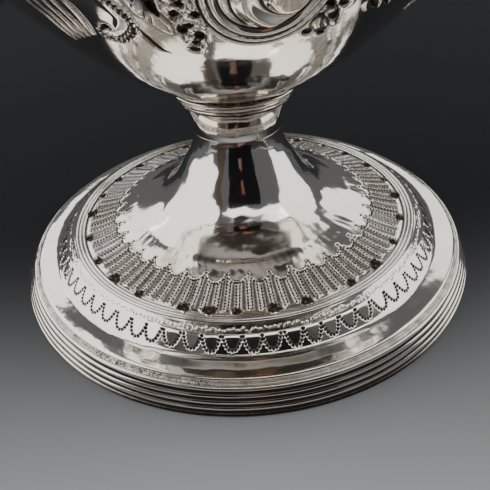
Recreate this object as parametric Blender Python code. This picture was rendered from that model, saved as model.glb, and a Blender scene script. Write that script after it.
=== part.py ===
"""A raised and chased silver sugar bowl on a turned pedestal foot.

The bowl is a thin raised sheet with a reeded wire round its rim. It stands on a short tapered
collar, the collar grips the neck of a trumpet-shaped foot, and the foot rests on a reeded wire.
Thin seams of silver solder hold the pieces together. Metres, +Z up, origin on the table under
the middle of the foot.
"""

import math

import bmesh
import bpy
import numpy as np

# Driving dimensions.
FOOT_RADIUS = 0.040        # the foot's outer edge, and the unit of every outline below
BOWL_WALL = 0.0009         # raised sheet of the bowl
FOOT_WALL = 0.00075        # raised sheet of the foot
COLLAR_WALL = 0.0006       # strip that the collar is bent from
GAP = 0.0003               # clearance that the meshes keep at a soldered joint
SEGMENTS = 48              # facets round every turned piece

# Outlines as (radius, height), both in foot radii. The curves between the points are smooth.
BOWL_CURVE = (
    (0.000, 0.690), (0.125, 0.708), (0.250, 0.762), (0.382, 0.840), (0.529, 0.960),
    (0.657, 1.080), (0.860, 1.290), (1.060, 1.540), (1.215, 1.860), (1.300, 2.300),
)
STEM_CURVE = (
    (0.700, 0.179), (0.575, 0.209), (0.460, 0.245), (0.370, 0.290), (0.2865, 0.362),
    (0.2345, 0.440), (0.192, 0.520), (0.179, 0.578),
)
COLLAR_CURVE = ((0.183, 0.588), (0.187, 0.640), (0.204, 0.680), (0.2200, 0.700))

# The foot's flat stretches, from its edge to the plateau.
FLANGE_EDGE = (0.934, 0.109)
FLANGE_FOOT = (0.850, 0.121)
STEP_FOOT = (0.832, 0.129)
STEP_TOP = (0.797, 0.166)
PLATEAU_INNER = (0.757, 0.184)
FILLET_INNER = (0.715, 0.181)
FILLET_COUNT = 3
FILLET_HEIGHT = 0.005

# The neck that the collar slides over.
NECK_RADIUS = 0.158
NECK_FOOT = 0.584
NECK_TOP = 0.650

# Reeded wires.
FOOT_WIRE_BASE = (1.000, 0.000)
FOOT_WIRE_TOP = (0.953, 0.086)
FOOT_WIRE_INNER = 0.915
FOOT_REEDS = 4
REED_DEPTH = 0.006
COLLAR_REEDS = 3
COLLAR_RING_BASE = (0.229, 0.709)
COLLAR_RING_TOP = (0.247, 0.738)
COLLAR_RING_INNER = 0.208
RIM_WIRE_HEIGHT = 0.070
RIM_WIRE_WIDTH = 0.034
RIM_REEDS = 3


def clear_objects():
    """Remove every object, so that the script can be run again."""
    for old in list(bpy.data.objects):
        bpy.data.objects.remove(old, do_unlink=True)


def silver(name, colour, roughness):
    """Make one metal material with its own colour and polish."""
    material = bpy.data.materials.new(name)
    material.use_nodes = True
    shader = material.node_tree.nodes["Principled BSDF"]
    shader.inputs["Base Color"].default_value = (*colour, 1.0)
    shader.inputs["Metallic"].default_value = 1.0
    shader.inputs["Roughness"].default_value = roughness
    return material


def to_metres(points):
    """Turn (radius, height) pairs in foot radii into an array in metres."""
    return np.array(points, dtype=float) * FOOT_RADIUS


def smooth(points, steps):
    """Run a Catmull-Rom curve through the points, with a few steps in each stretch."""
    known = to_metres(points)
    padded = np.vstack([2 * known[0] - known[1], known, 2 * known[-1] - known[-2]])
    t = np.linspace(0.0, 1.0, steps, endpoint=False)[:, None]
    stretches = []
    for i in range(len(known) - 1):
        a, b, c, d = padded[i:i + 4]
        stretches.append(0.5 * (2 * b + (c - a) * t + (2 * a - 5 * b + 4 * c - d) * t ** 2
                                + (3 * b - a - 3 * c + d) * t ** 3))
    return np.vstack(stretches + [known[-1:]])


def offset(curve, distance):
    """Move a curve sideways, to the left of its direction when the distance is positive."""
    along = np.gradient(curve, axis=0)
    along /= np.linalg.norm(along, axis=1)[:, None]
    side = np.stack([-along[:, 1], along[:, 0]], axis=1)
    return curve + distance * side


def reeds(start, end, count, height, steps=4):
    """Lay half-round reeds side by side on a straight line, standing out to its right."""
    first, last = np.array(start), np.array(end)
    along = last - first
    length = np.linalg.norm(along)
    out = np.array([along[1], -along[0]]) / length
    t = np.linspace(0.0, 1.0, count * steps + 1)
    rise = np.abs(np.sin(math.pi * count * t)) * height
    return first + t[:, None] * along + rise[:, None] * out


def turned(name, outline, material, closed=True):
    """Spin an outline round +Z. A closed outline is a ring, an open one ends on the axis."""
    mesh = bmesh.new()
    corners = [mesh.verts.new((max(r, 0.0), 0.0, z)) for r, z in outline]
    edges = [mesh.edges.new(pair) for pair in zip(corners, corners[1:])]
    if closed:
        edges.append(mesh.edges.new((corners[-1], corners[0])))
    bmesh.ops.spin(mesh, geom=corners + edges, cent=(0, 0, 0), axis=(0, 0, 1),
                   angle=2 * math.pi, steps=SEGMENTS, use_merge=True)
    bmesh.ops.remove_doubles(mesh, verts=mesh.verts, dist=1e-6)
    bmesh.ops.recalc_face_normals(mesh, faces=mesh.faces)
    data = bpy.data.meshes.new(name)
    mesh.to_mesh(data)
    mesh.free()
    data.shade_smooth()
    data.set_sharp_from_angle(angle=math.radians(35))
    data.materials.append(material)
    piece = bpy.data.objects.new(name, data)
    bpy.context.scene.collection.objects.link(piece)
    return piece


def bowl_outside():
    """The bowl's outer curve, from the middle of its bottom to its lip."""
    return smooth(BOWL_CURVE, steps=2)


def make_bowl(material):
    """One raised sheet: outer curve up, level lip, inner curve back down to the axis."""
    outer = bowl_outside()
    inner = offset(outer, BOWL_WALL)
    inner[0, 0] = 0.0
    inner[-1] = (outer[-1, 0] - BOWL_WALL, outer[-1, 1])
    return turned("bowl", np.vstack([outer, inner[::-1]]), material, closed=False)


def rim_face():
    """Bottom and top points of the bowl's outer face under the rim wire, GAP outside it."""
    outer = bowl_outside()
    top = outer[-1, 1]
    low = top - RIM_WIRE_HEIGHT * FOOT_RADIUS
    low_radius = np.interp(low, outer[:, 1], outer[:, 0])
    return (low_radius + GAP, low), (outer[-1, 0] + GAP, top)


def make_rim_wire(material):
    """Reeded wire round the outside of the lip."""
    low, high = rim_face()
    width = RIM_WIRE_WIDTH * FOOT_RADIUS
    face = reeds((low[0] + 0.7 * width, low[1]), (high[0] + width, high[1]), RIM_REEDS,
                 REED_DEPTH * FOOT_RADIUS)
    return turned("rim_wire", np.vstack([[low], face, [high]]), material)


def make_rim_solder(material):
    """Fillet of solder under the rim wire, against the bowl's side."""
    low, _ = rim_face()
    radius, height = low
    size = 2 * GAP
    outline = [(radius, height - GAP), (radius - GAP / 3, height - GAP - size),
               (radius + size, height - GAP)]
    return turned("rim_solder", outline, material)


def make_collar_ring(material):
    """Fine reeded ring that caps the collar and carries the bowl."""
    low, high = to_metres([COLLAR_RING_BASE, COLLAR_RING_TOP])
    inner = COLLAR_RING_INNER * FOOT_RADIUS
    face = reeds(low, high, COLLAR_REEDS, 0.4 * REED_DEPTH * FOOT_RADIUS, steps=3)
    bowl = bowl_outside()
    inner_top = np.interp(inner, bowl[:, 0], bowl[:, 1]) - 3 * GAP
    return turned("collar_ring", np.vstack([[(inner, low[1])], face, [(inner, inner_top)]]),
                  material)


def make_bowl_solder(material):
    """Thin seam of solder between the collar ring and the bottom of the bowl."""
    bowl = bowl_outside()
    radii = np.array([0.212, 0.244]) * FOOT_RADIUS
    under = np.interp(radii, bowl[:, 0], bowl[:, 1]) - GAP
    seam = GAP
    outline = [(radii[0], under[0] - seam), (radii[1], under[1] - seam),
               (radii[1], under[1]), (radii[0], under[0])]
    return turned("bowl_solder", outline, material)


def make_collar(material):
    """Tapered sleeve, waisted at its lower end and flaring up to the ring."""
    outer = smooth(COLLAR_CURVE, steps=2)
    inner = offset(outer, COLLAR_WALL)
    inner[0, 1] = outer[0, 1]
    inner[-1, 1] = outer[-1, 1]
    return turned("collar", np.vstack([outer, inner[::-1]]), material)


def make_collar_solder(material):
    """Seam of solder inside the collar, over the end of the foot's neck."""
    neck = NECK_RADIUS * FOOT_RADIUS
    low = NECK_TOP * FOOT_RADIUS
    inside, outside = neck - GAP, neck + 1.5 * GAP
    outline = [(inside, low + GAP), (outside, low + GAP), (outside, low + 3 * GAP),
               (inside, low + 3 * GAP)]
    return turned("collar_solder", outline, material)


def foot_curve(fillets):
    """The foot's upper curve, from its edge over step, plateau and dome up to the neck."""
    flats = to_metres([FLANGE_EDGE, FLANGE_FOOT, STEP_FOOT, STEP_TOP])
    stem = smooth(STEM_CURVE, steps=2)
    neck = to_metres([(NECK_RADIUS, NECK_FOOT), (NECK_RADIUS, NECK_TOP)])
    return np.vstack([flats, fillets, stem, neck])


def make_foot(material):
    """One raised sheet: flange, step, plateau, fillets, dome, trumpet stem and neck.

    The fillets are chased on the upper side only, so the under side runs straight below them.
    """
    plateau, field = to_metres([PLATEAU_INNER, FILLET_INNER])
    raised = reeds(plateau, field, FILLET_COUNT, FILLET_HEIGHT * FOOT_RADIUS, steps=2)
    outer = foot_curve(raised)
    inner = offset(foot_curve(raised[::len(raised) - 1]), FOOT_WALL)
    inner[0] = outer[0] - (0.0, FOOT_WALL)
    inner[-1] = outer[-1] - (FOOT_WALL, 0.0)
    return turned("foot", np.vstack([outer, inner[::-1]]), material)


def make_foot_wire(material):
    """Reeded wire bent into the ring that the foot rests on."""
    base, top = to_metres([FOOT_WIRE_BASE, FOOT_WIRE_TOP])
    inner = FOOT_WIRE_INNER * FOOT_RADIUS
    face = reeds(base, top, FOOT_REEDS, REED_DEPTH * FOOT_RADIUS)
    return turned("foot_wire", np.vstack([[(inner, 0.0)], face, [(inner, top[1])]]), material)


def make_foot_solder(material):
    """Seam of solder in the corner between the foot's edge and the top of its wire."""
    edge = FLANGE_EDGE[0] * FOOT_RADIUS + GAP
    low = FOOT_WIRE_TOP[1] * FOOT_RADIUS + GAP
    outline = [(edge, low), (edge + 2 * GAP, low), (edge, low + 2 * GAP)]
    return turned("foot_solder", outline, material)


def main():
    clear_objects()
    polished = (0.93, 0.91, 0.88)
    solder_grey = (0.70, 0.67, 0.62)
    make_bowl(silver("bowl_silver", polished, 0.12))
    make_rim_wire(silver("rim_wire_silver", polished, 0.16))
    make_rim_solder(silver("rim_solder_silver", solder_grey, 0.40))
    make_bowl_solder(silver("bowl_solder_silver", solder_grey, 0.45))
    make_collar_ring(silver("collar_ring_silver", polished, 0.20))
    make_collar(silver("collar_silver", polished, 0.14))
    make_collar_solder(silver("collar_solder_silver", solder_grey, 0.45))
    make_foot(silver("foot_silver", polished, 0.12))
    make_foot_wire(silver("foot_wire_silver", polished, 0.16))
    make_foot_solder(silver("foot_solder_silver", solder_grey, 0.45))


main()
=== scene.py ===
"""Chased silver sugar bowl on a pedestal foot: the finished silver over its plain turned solids."""

from __future__ import annotations

import logging
import math
from dataclasses import dataclass, field, replace
from enum import Enum

import bpy
import numpy as np
from mathutils import Matrix, Quaternion, Vector


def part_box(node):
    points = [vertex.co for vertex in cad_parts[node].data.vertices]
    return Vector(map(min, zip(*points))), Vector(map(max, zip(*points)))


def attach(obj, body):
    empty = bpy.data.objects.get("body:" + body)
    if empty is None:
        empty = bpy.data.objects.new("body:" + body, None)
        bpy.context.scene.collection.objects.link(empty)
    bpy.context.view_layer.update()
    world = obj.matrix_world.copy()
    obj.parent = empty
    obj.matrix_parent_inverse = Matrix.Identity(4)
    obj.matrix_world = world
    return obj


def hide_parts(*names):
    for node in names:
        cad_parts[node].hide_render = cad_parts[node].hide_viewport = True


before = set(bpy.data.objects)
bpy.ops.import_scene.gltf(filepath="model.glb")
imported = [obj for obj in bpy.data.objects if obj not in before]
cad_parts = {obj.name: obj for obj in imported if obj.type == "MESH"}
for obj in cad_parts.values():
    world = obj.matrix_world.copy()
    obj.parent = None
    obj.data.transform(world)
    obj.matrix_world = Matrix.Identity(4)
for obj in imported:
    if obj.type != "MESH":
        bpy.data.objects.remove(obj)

Array = np.ndarray
LOG = logging.getLogger("sugar_bowl")

MM = 0.001
FOOT_RADIUS = 40.0
BODY = "root"
SHARP_ANGLE = math.radians(55)
FULL_TURN = 2 * math.pi


class Slot(Enum):
    """The record's material slots."""

    BOWL = "bowl_silver"
    FOOT = "foot_silver"
    COLLAR = "collar_silver"
    WIRE = "wire_silver"
    SOLDER = "solder"


# ------------------------------------------------------------------ curves

def bell(distance: Array, width: float | Array) -> Array:
    """Return a bell curve of a distance: one at zero, fading over a width."""
    return np.exp(-(distance / width) ** 2)


def ease(x: Array) -> Array:
    """Return x clipped to 0..1 and eased at both ends (3x^2 - 2x^3)."""
    t = np.clip(x, 0.0, 1.0)
    return t * t * (3.0 - 2.0 * t)


def waves(bearing: Array, s: Array, terms: tuple[tuple[float, float, float, float], ...]) -> Array:
    """Sum slow waves over a sheet: height sin(count * bearing + climb * s + start).

    Args:
        bearing: Bearings in radians.
        s: Distances along the outline in millimetres.
        terms: (height, count, climb, start) of each wave.

    Returns:
        The sum, at every bearing and distance.
    """
    return sum(height * np.sin(count * bearing + climb * s + start)
               for height, count, climb, start in terms)


def radii(points: tuple[tuple[float, float], ...]) -> Array:
    """Turn (radius, height) pairs from foot radii to millimetres."""
    return np.array(points, dtype=float) * FOOT_RADIUS


def flowing(points: tuple[tuple[float, float], ...] | Array, steps: int = 24) -> Array:
    """Run a Catmull-Rom curve through points.

    Args:
        points: Pairs of numbers in any unit.
        steps: Points laid in each stretch.

    Returns:
        An (n, 2) array in the same unit.
    """
    known = np.array(points, dtype=float)
    padded = np.vstack([2 * known[0] - known[1], known, 2 * known[-1] - known[-2]])
    t = np.linspace(0.0, 1.0, steps, endpoint=False)[None, :, None]
    a, b, c, d = (padded[i:len(padded) - 3 + i, None] for i in range(4))
    curve = 0.5 * (2 * b + (c - a) * t + (2 * a - 5 * b + 4 * c - d) * t ** 2
                   + (3 * b - a - 3 * c + d) * t ** 3)
    return np.vstack([curve.reshape(-1, 2), known[-1:]])


class Outline:
    """A turned outline: radius and height as functions of the distance along it."""

    PITCH = 0.02

    def __init__(self, points: Array, soften: float = 0.0) -> None:
        """Lay an outline at an even pitch, with its corners rounded.

        Args:
            points: (n, 2) radii and heights in millimetres.
            soften: Reach of the bell curve that rounds the corners, in millimetres.
        """
        along = np.r_[0.0, np.cumsum(np.linalg.norm(np.diff(points, axis=0), axis=1))]
        self.s = np.arange(0.0, along[-1] + self.PITCH / 2, self.PITCH)
        even = np.stack([np.interp(self.s, along, points[:, k]) for k in (0, 1)], axis=1)
        if soften:
            reach = int(3 * soften / self.PITCH)
            weights = bell(np.arange(-reach, reach + 1) * self.PITCH, soften)
            weights /= weights.sum()
            before = 2 * even[0] - even[reach:0:-1]
            after = 2 * even[-1] - even[-2:-reach - 2:-1]
            padded = np.vstack([before, even, after])
            even = np.stack([np.convolve(padded[:, k], weights, "valid") for k in (0, 1)], axis=1)
        self.points = even
        slope = np.gradient(even, axis=0)
        slope /= np.linalg.norm(slope, axis=1)[:, None] + 1e-12
        self.normals = np.stack([slope[:, 1], -slope[:, 0]], axis=1)

    @property
    def length(self) -> float:
        """Distance from the first point to the last, in millimetres."""
        return float(self.s[-1])

    def at(self, s: Array) -> tuple[Array, Array]:
        """Find places on the outline.

        Args:
            s: Distances along it in millimetres.

        Returns:
            Points and outward normals there.
        """
        point = np.stack([np.interp(s, self.s, self.points[:, k]) for k in (0, 1)], axis=-1)
        normal = np.stack([np.interp(s, self.s, self.normals[:, k]) for k in (0, 1)], axis=-1)
        return point, normal / np.linalg.norm(normal, axis=-1, keepdims=True)

    def at_radius(self, radius: float) -> float:
        """Distance at which the outline comes to a radius in foot radii."""
        return float(self.s[np.abs(self.points[:, 0] - radius * FOOT_RADIUS).argmin()])

    def at_height(self, height: float) -> float:
        """Distance at which the outline comes to a height in foot radii."""
        return float(self.s[np.abs(self.points[:, 1] - height * FOOT_RADIUS).argmin()])


def cord_outline(middle: Array, half_width: float, half_height: float, count: int) -> tuple:
    """Draw the oval cross-section of a cord that runs round the axis.

    Args:
        middle: Radius and height of its middle in millimetres.
        half_width: Half its width in millimetres.
        half_height: Half its height in millimetres.
        count: Points round it.

    Returns:
        Its outline, and the row distances of those points.
    """
    t = np.linspace(0, FULL_TURN, count + 1)[:-1]
    loop = middle + np.stack([half_width * np.cos(t), half_height * np.sin(t)], -1)
    outline = Outline(np.vstack([loop, loop[:1]]))
    return outline, np.linspace(0, outline.length, count + 1)[:-1]


def rows_at(*stretches: tuple[float, float, float]) -> Array:
    """Return row distances for (start, end, pitch) stretches that follow one another."""
    parts = [np.linspace(a, b, max(2, int(round(abs(b - a) / pitch)) + 1))[:-1]
             for a, b, pitch in stretches]
    return np.r_[np.concatenate(parts), stretches[-1][1]]


def columns_at(front: int, back: int, half_front: float = 60.0) -> Array:
    """Return column bearings in radians: close together in front, wider apart behind.

    Args:
        front: Columns in the front sector.
        back: Columns in the rest of the turn.
        half_front: Half the front sector, in degrees from -Y.

    Returns:
        Ascending bearings from -pi, one turn of them.
    """
    edge = math.radians(half_front)
    half = back // 2
    left = np.linspace(-math.pi, -edge, half, endpoint=False)
    middle = np.linspace(-edge, edge, front, endpoint=False)
    right = np.linspace(edge, math.pi, half, endpoint=False)
    return np.concatenate([left, middle, right])


# ------------------------------------------------------------------ the chaser's work

@dataclass(frozen=True)
class Punch:
    """A punch and how it is struck.

    Radius and depth are in millimetres and turn in degrees. The burr is a share of the depth,
    spread is the tarnish's reach as a share of the radius, and stretch is length over width.
    """

    radius: float
    depth: float
    burr: float = 0.35
    dark: float = 1.0
    stretch: float = 1.0
    turn: float = 0.0
    spread: float = 1.05


class Sheet:
    """A turned face laid flat for the chaser: bearings across and distances up.

    Height is in millimetres out of the surface; tarnish (with painted shade on the foot wire) and
    matting run from 0 to 1.
    """

    HEART = Punch(0.16, 0.12)
    HEART_PUNCHES, HEART_TURN = 7, 2.4

    def __init__(self, bearings: Array, rows: Array, radius: Array) -> None:
        """Lay out an untouched face.

        Args:
            bearings: Column bearings in radians.
            rows: Row distances along the outline in millimetres.
            radius: Radius of each row in millimetres.
        """
        self.bearings, self.rows, self.radius = bearings, rows, radius
        self.height = np.zeros((len(rows), len(bearings)))
        self.grime_and_shade = np.zeros_like(self.height)
        self.matting = np.zeros_like(self.height)
        self._wide = np.concatenate([bearings - FULL_TURN, bearings, bearings + FULL_TURN])

    def grid(self) -> tuple[Array, Array, Array]:
        """Return the bearings as a row, and the distances and radii as columns."""
        return self.bearings[None, :], self.rows[:, None], self.radius[:, None]

    def window(self, bearing: float, s: float, across: float, up: float) -> tuple | None:
        """Find the part of the sheet round a place.

        Args:
            bearing: Bearing of the place, in degrees.
            s: Distance of the place along the outline, in millimetres.
            across: Half the window's width, in millimetres.
            up: Half the window's height, in millimetres.

        Returns:
            Indices into the sheet with local x and y in millimetres, or None off the sheet.
        """
        low, high = np.searchsorted(self.rows, [s - up, s + up])
        if low == high:
            return None
        middle = math.radians(bearing)
        reach = across / max(float(self.radius[low:high].min()), 0.5)
        left, right = np.searchsorted(self._wide, [middle - reach, middle + reach])
        if left == right:
            return None
        columns = np.arange(left, right) % len(self.bearings)
        x = (self._wide[left:right] - middle)[None, :] * self.radius[low:high, None]
        y = np.broadcast_to((self.rows[low:high] - s)[:, None], x.shape)
        return np.ix_(np.arange(low, high), columns), x, y

    def mark(self, where: tuple, height: Array, grime_and_shade: Array, matting: Array | float = 0.0) -> None:
        """Work a window of the sheet.

        Args:
            where: Indices of the window.
            height: Height to add in millimetres.
            grime_and_shade: Least tarnish to leave.
            matting: Least matting to leave.
        """
        self.height[where] += height
        self.grime_and_shade[where] = np.maximum(self.grime_and_shade[where], grime_and_shade)
        self.matting[where] = np.maximum(self.matting[where], matting)

    def punch(self, bearing: float, s: float, tool: Punch, weight: float = 1.0) -> None:
        """Strike a pit with a raised burr: depth exp(-q^3), burr round q = 1.6.

        Args:
            bearing: Bearing in degrees.
            s: Distance along the outline in millimetres.
            tool: The punch.
            weight: Weight of the blow, as a share of the punch's full depth.
        """
        reach = 2.6 * tool.radius * tool.stretch
        found = self.window(bearing, s, reach, reach)
        if found is None:
            return
        where, x, y = found
        depth, turn = tool.depth * weight, math.radians(tool.turn)
        c, n = math.cos(turn), math.sin(turn)
        q = np.hypot((x * c + y * n) / tool.stretch, y * c - x * n) / tool.radius
        rise = tool.burr * depth * bell(q - 1.6, 0.45) - depth * np.exp(-q ** 3)
        self.mark(where, rise, tool.dark * np.exp(-(q / tool.spread) ** 6))

    def along(self, line: Array, reach: float) -> tuple | None:
        """Measure the sheet against a drawn line.

        Args:
            line: (n, 2) bearings in degrees and distances in millimetres.
            reach: How far from the line to measure, in millimetres.

        Returns:
            Indices, distance from the line, side (-1 or 1) and share of the line passed; or None.
        """
        bearing, s = line.mean(axis=0)
        local_radius = np.interp(line[:, 1], self.rows, self.radius)
        px = np.radians(line[:, 0] - bearing) * local_radius
        py = line[:, 1] - s
        found = self.window(bearing, s, np.abs(px).max() + reach, np.abs(py).max() + reach)
        if found is None:
            return None
        where, x, y = found
        best = np.full(x.shape, 1e9)
        side, passed = np.ones(x.shape), np.zeros(x.shape)
        for i in range(len(line) - 1):
            ax, ay, bx, by = px[i], py[i], px[i + 1], py[i + 1]
            length2 = (bx - ax) ** 2 + (by - ay) ** 2 + 1e-9
            t = np.clip(((x - ax) * (bx - ax) + (y - ay) * (by - ay)) / length2, 0, 1)
            d = np.hypot(x - ax - t * (bx - ax), y - ay - t * (by - ay))
            cross = (bx - ax) * (y - ay) - (by - ay) * (x - ax)
            nearer = d < best
            best = np.where(nearer, d, best)
            side = np.where(nearer, np.sign(cross), side)
            passed = np.where(nearer, (i + t) / (len(line) - 1), passed)
        return where, best, side, passed

    def stroke(self, line: Array, width: float, depth: float, dark: float = 1.0,
               burr: float = 0.3, taper: float = 0.35) -> None:
        """Chase a groove, or with a negative depth a ridge, that thins at its ends.

        Args:
            line: (n, 2) bearings in degrees and distances in millimetres.
            width: Half width of the groove in millimetres.
            depth: Depth in millimetres.
            dark: Tarnish left in it.
            burr: Height of the raised edges as a share of the depth.
            taper: Share of the line over which each end thins.
        """
        found = self.along(line, 3 * width)
        if found is None:
            return
        where, d, _, passed = found
        thin = 0.25 + 0.75 * ease(np.minimum(passed, 1 - passed) / max(taper, 1e-3))
        q = d / (width * thin)
        rise = thin * depth * (burr * bell(q - 1.7, 0.5) - bell(q, 1.0))
        self.mark(where, rise, dark * np.exp(-(q / 0.95) ** 4))

    def blade(self, line: Array, half_width: float, height: float, veins: float = 0.0,
              dark: float = 0.9, blunt: float = 0.6) -> None:
        """Raise a leaf or flute round a spine: height (1 - q^2), q across its half width.

        Args:
            line: Spine as bearings in degrees and distances in millimetres.
            half_width: Greatest half width in millimetres.
            height: Rise in millimetres.
            veins: Number of veins along it, or 0 for a plain flute.
            dark: Tarnish in the chased outline and the middle vein.
            blunt: Power of the half width's arch along the spine; smaller is blunter.
        """
        found = self.along(line, half_width + 0.8)
        if found is None:
            return
        where, d, side, passed = found
        half = half_width * np.sin(math.pi * np.clip(passed, 0.02, 0.98)) ** blunt
        q = d / half
        crown = np.clip(1 - q ** 2, 0, 1) ** 0.7
        rise = height * crown
        edge = bell(d - half, 0.22)
        stain = dark * edge
        if veins:
            ribs = np.sin(FULL_TURN * (veins * passed - 0.7 * q))
            rise += 0.22 * height * ribs * crown
            middle = bell(d, 0.16) * (q < 1)
            rise -= 0.5 * height * middle
            furrow = 0.7 * dark * (ribs < -0.55) * (q < 1)
            stain = np.maximum(stain, np.maximum(dark * middle, furrow))
        self.mark(where, rise - 0.5 * height * edge, stain)

    def beads(self, line: Array, pitch: float, tool: Punch) -> None:
        """Strike a punch again and again along a drawn line.

        Args:
            line: (n, 2) bearings in degrees and distances in millimetres.
            pitch: Distance between blows in millimetres.
            tool: The punch.
        """
        local = np.interp(line[:, 1], self.rows, self.radius)
        x = np.radians(line[:, 0]) * local
        travelled = np.r_[0, np.cumsum(np.hypot(np.diff(x), np.diff(line[:, 1])))]
        for at in np.arange(0, travelled[-1], pitch):
            bearing = float(np.interp(at, travelled, line[:, 0]))
            s = float(np.interp(at, travelled, line[:, 1]))
            self.punch(bearing, s, tool)

    def flower(self, bearing: float, s: float, radius: float, petals: int, height: float,
               turn: float = 0.0) -> None:
        """Raise a flower: petals |cos(n angle / 2)| round a pounced heart.

        Args:
            bearing: Bearing of its middle, in degrees.
            s: Distance of its middle along the outline, in millimetres.
            radius: Radius of its petals in millimetres.
            petals: Number of petals.
            height: Rise in millimetres.
            turn: Turn of the petals in degrees.
        """
        found = self.window(bearing, s, 1.4 * radius, 1.4 * radius)
        if found is None:
            return
        where, x, y = found
        angle = np.arctan2(y, x) + math.radians(turn)
        d = np.hypot(x, y)
        wave = np.abs(np.cos(petals * angle / 2))
        edge = radius * (0.68 + 0.32 * wave ** 0.7)
        q = d / edge
        body = height * np.clip(1 - q ** 4, 0, 1) * (0.35 + 0.65 * wave ** 0.6)
        cup = -0.5 * height * bell(d, 0.42 * radius) + 0.8 * height * bell(d, 0.2 * radius)
        line = bell(d - edge, 0.2)
        parting = (wave < 0.3) * (q < 0.95) * (d > 0.3 * radius)
        ring = bell(d - 0.3 * radius, 0.2)
        stain = np.maximum(0.95 * line, np.maximum(0.9 * parting, 0.8 * ring))
        self.mark(where, body + cup * (q < 1) - 0.35 * height * line, stain)
        around = float(np.interp(s, self.rows, self.radius))
        for k in range(self.HEART_PUNCHES):
            a = k * self.HEART_TURN
            reach = 0.07 * radius * math.sqrt(k)
            aside = math.degrees(reach * math.cos(a) / around)
            self.punch(bearing + aside, s + reach * math.sin(a), self.HEART)


# ------------------------------------------------------------------ solids from sheets

@dataclass
class Turned:
    """A closed solid turned round +Z: stretches of surface that follow one another."""

    name: str
    node: str
    slot: Slot
    bearings: Array
    parts: list[tuple[Array, Array, Array]] = field(default_factory=list)

    def sheet(self, outline: Outline, rows: Array) -> Sheet:
        """Lay out an untouched sheet for a stretch of an outline."""
        return Sheet(self.bearings, rows, outline.at(rows)[0][:, 0])

    def face(self, outline: Outline, sheet: Sheet, inset: float = 0.0,
             backwards: bool = False) -> Turned:
        """Add a stretch: the outline's points pushed along its normals by the sheet's height.

        Args:
            outline: The outline to follow.
            sheet: The worked sheet.
            inset: Depth of the stretch below the outline, in millimetres.
            backwards: Whether the rows run back, as the under side of a wall does.

        Returns:
            This solid, so that calls can be chained.
        """
        point, normal = outline.at(sheet.rows)
        push = sheet.height - inset
        grid = np.stack([point[:, :1] + normal[:, :1] * push,
                         point[:, 1:] + normal[:, 1:] * push], axis=-1)
        step = -1 if backwards else 1
        self.parts.append((grid[::step], sheet.grime_and_shade[::step], sheet.matting[::step]))
        return self

    def plain(self, outline: Outline, rows: Array, inset: float = 0.0,
              backwards: bool = False) -> Turned:
        """Add an untouched stretch of an outline."""
        return self.face(outline, self.sheet(outline, rows), inset, backwards)

    def build(self, material: bpy.types.Material, capped: bool = False) -> bpy.types.Object:
        """Close the rows into a solid and dress it.

        Args:
            material: Its finish.
            capped: Whether the first and last rows close on the axis, not on one another.

        Returns:
            The object, riding on the body.
        """
        grid = np.concatenate([g for g, _, _ in self.parts])
        rows, columns = grid.shape[:2]
        bearing = np.broadcast_to(self.bearings[None, :], (rows, columns))
        radius, height = grid[..., 0], grid[..., 1]
        xyz = np.stack([radius * np.sin(bearing), -radius * np.cos(bearing), height], -1) * MM
        points = xyz.reshape(-1, 3)
        index = np.arange(rows * columns).reshape(rows, columns)
        low = index[:-1] if capped else index
        high = index[1:] if capped else np.roll(index, -1, axis=0)
        quads = np.stack([low, np.roll(low, -1, 1), np.roll(high, -1, 1), high], -1).reshape(-1, 4)
        triangles = np.zeros((0, 3), int)
        values = [np.concatenate([p[k] for p in self.parts]).ravel() for k in (1, 2)]
        if capped:
            first, last = len(points), len(points) + 1
            ends = [(0, 0, xyz[0, :, 2].mean()), (0, 0, xyz[-1, :, 2].mean())]
            points = np.vstack([points, ends])
            values = [np.r_[v, 0.0, 0.0] for v in values]
            start, finish = index[0], index[-1]
            fan = np.stack([np.full(columns, first), np.roll(start, -1), start], -1)
            fan_end = np.stack([np.full(columns, last), finish, np.roll(finish, -1)], -1)
            triangles = np.vstack([fan, fan_end])
        mesh = mesh_from_faces(self.name, points, quads, triangles)
        for key, numbers in zip(("grime_and_shade", "matting"), values):
            layer = mesh.attributes.new(key, "FLOAT", "POINT")
            layer.data.foreach_set("value", numbers.astype(np.float32))
        mesh.shade_smooth()
        mesh.set_sharp_from_angle(angle=SHARP_ANGLE)
        mesh.materials.append(material)
        piece = bpy.data.objects.new(self.name, mesh)
        bpy.context.scene.collection.objects.link(piece)
        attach(piece, BODY)
        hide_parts(self.node)
        LOG.info("%s: %d faces, stands for %s", self.name, len(mesh.polygons), self.node)
        return piece


def mesh_from_faces(name: str, points: Array, quads: Array, triangles: Array) -> bpy.types.Mesh:
    """Make a mesh from whole arrays.

    Args:
        name: Name of the mesh.
        points: (n, 3) corners in metres.
        quads: Faces of four corners.
        triangles: Faces of three corners.

    Returns:
        The mesh, with its edges worked out.
    """
    mesh = bpy.data.meshes.new(name)
    mesh.vertices.add(len(points))
    mesh.vertices.foreach_set("co", points.astype(np.float32).ravel())
    corners = np.r_[quads.ravel(), triangles.ravel()].astype(np.int32)
    starts = np.r_[np.arange(len(quads)) * 4, quads.size + np.arange(len(triangles)) * 3]
    mesh.loops.add(len(corners))
    mesh.loops.foreach_set("vertex_index", corners)
    mesh.polygons.add(len(starts))
    mesh.polygons.foreach_set("loop_start", starts.astype(np.int32))
    mesh.update(calc_edges=True)
    mesh.validate()
    return mesh


# ------------------------------------------------------------------ finishes

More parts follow.
